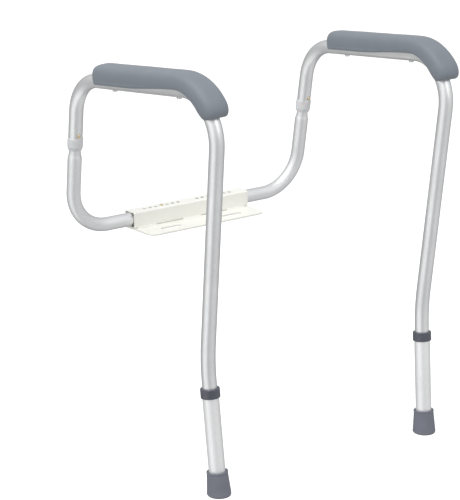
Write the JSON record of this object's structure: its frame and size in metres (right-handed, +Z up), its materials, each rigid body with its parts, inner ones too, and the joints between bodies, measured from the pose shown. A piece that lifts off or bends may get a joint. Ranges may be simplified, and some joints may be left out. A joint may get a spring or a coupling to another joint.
{
  "type": "toilet safety frame",
  "caption": "Bolt-on toilet safety frame: tubular aluminium arms with grey moulded armrests, sliding leg extensions with rubber feet, and a slotted rear bracket.",
  "frame": {"origin": "on the floor under the middle of the frame's box, between the two feet and the rear bracket", "axes": "+Z up, the user faces -Y, the toilet's tank is towards +Y, left and right are as seen from the front, so the left pieces are at -X"},
  "size_m": [0.5712, 0.4574, 0.7232],
  "materials": {
    "clear_anodised_aluminium": "satin clear anodised drawn tube",
    "cream_powder_coat": "cream white powder coat, slight orange peel",
    "grey_armrest_foam": "moulded integral-skin foam, matte blue grey",
    "dark_slate_plastic": "moulded dark slate plastic, satin",
    "clear_plastic": "milky moulded plastic",
    "grey_rubber": "moulded grey rubber",
    "gold_plated_steel": "yellow passivated pressed steel",
    "spring_steel": "bright spring strip",
    "zinc_steel": "bright zinc plate"
  },
  "bodies": {
    "bracket": {"cross_tube": "cream_powder_coat", "mounting_plate": "cream_powder_coat"},
    "left_arm": {"left_rear_tube": "clear_anodised_aluminium", "left_arm_tube": "clear_anodised_aluminium", "left_post_collar": "clear_plastic", "left_post_spring": "spring_steel", "left_width_spring": "spring_steel", "left_leg_spring": "spring_steel", "left_armrest_pad": "grey_armrest_foam", "left_armrest_core": "zinc_steel", "left_armrest_screws": "zinc_steel"},
    "left_leg": {"left_leg_extension": "clear_anodised_aluminium", "left_leg_collar": "dark_slate_plastic", "left_foot_tip": "grey_rubber", "left_foot_washer": "zinc_steel"},
    "left_post_latch": {"left_post_button": "gold_plated_steel"},
    "left_width_latch": {"left_width_button": "gold_plated_steel"},
    "left_leg_latch": {"left_leg_button": "gold_plated_steel"},
    "right_arm": {"right_rear_tube": "clear_anodised_aluminium", "right_arm_tube": "clear_anodised_aluminium", "right_post_collar": "clear_plastic", "right_post_spring": "spring_steel", "right_width_spring": "spring_steel", "right_leg_spring": "spring_steel", "right_armrest_pad": "grey_armrest_foam", "right_armrest_core": "zinc_steel", "right_armrest_screws": "zinc_steel"},
    "right_leg": {"right_leg_extension": "clear_anodised_aluminium", "right_leg_collar": "dark_slate_plastic", "right_foot_tip": "grey_rubber", "right_foot_washer": "zinc_steel"},
    "right_post_latch": {"right_post_button": "gold_plated_steel"},
    "right_width_latch": {"right_width_button": "gold_plated_steel"},
    "right_leg_latch": {"right_leg_button": "gold_plated_steel"}
  },
  "joints": [
    {"name": "left_width_slide", "type": "slide", "parent": "bracket", "child": "left_arm", "axis": [-1, 0, 0], "range_m": [-0.0381, 0.0381]},
    {"name": "left_leg_height", "type": "slide", "parent": "left_arm", "child": "left_leg", "axis": [0.0271, -0.0977, -0.9948], "range_m": [0, 0.0762]},
    {"name": "left_post_button_press", "type": "slide", "parent": "left_arm", "child": "left_post_latch", "axis": [0.1085, 0.985, 0.1343], "range_m": [0, 0.0042], "stiffness_N_per_m": 1500, "springref_m": -0.001, "deforming": ["left_post_spring"]},
    {"name": "left_width_button_press", "type": "slide", "parent": "left_arm", "child": "left_width_latch", "axis": [0, 0, -1], "range_m": [0, 0.004], "stiffness_N_per_m": 1500, "springref_m": -0.001, "deforming": ["left_width_spring"]},
    {"name": "left_leg_button_press", "type": "slide", "parent": "left_arm", "child": "left_leg_latch", "axis": [0.0254, -0.9948, 0.0984], "range_m": [0, 0.0036], "stiffness_N_per_m": 1500, "springref_m": -0.001, "deforming": ["left_leg_spring"]},
    {"name": "right_width_slide", "type": "slide", "parent": "bracket", "child": "right_arm", "axis": [1, 0, 0], "range_m": [-0.0381, 0.0381]},
    {"name": "right_leg_height", "type": "slide", "parent": "right_arm", "child": "right_leg", "axis": [-0.0271, -0.0977, -0.9948], "range_m": [0, 0.0762]},
    {"name": "right_post_button_press", "type": "slide", "parent": "right_arm", "child": "right_post_latch", "axis": [-0.1085, 0.985, 0.1343], "range_m": [0, 0.0042], "stiffness_N_per_m": 1500, "springref_m": -0.001, "deforming": ["right_post_spring"]},
    {"name": "right_width_button_press", "type": "slide", "parent": "right_arm", "child": "right_width_latch", "axis": [0, 0, -1], "range_m": [0, 0.004], "stiffness_N_per_m": 1500, "springref_m": -0.001, "deforming": ["right_width_spring"]},
    {"name": "right_leg_button_press", "type": "slide", "parent": "right_arm", "child": "right_leg_latch", "axis": [-0.0254, -0.9948, 0.0984], "range_m": [0, 0.0036], "stiffness_N_per_m": 1500, "springref_m": -0.001, "deforming": ["right_leg_spring"]}
  ]
}
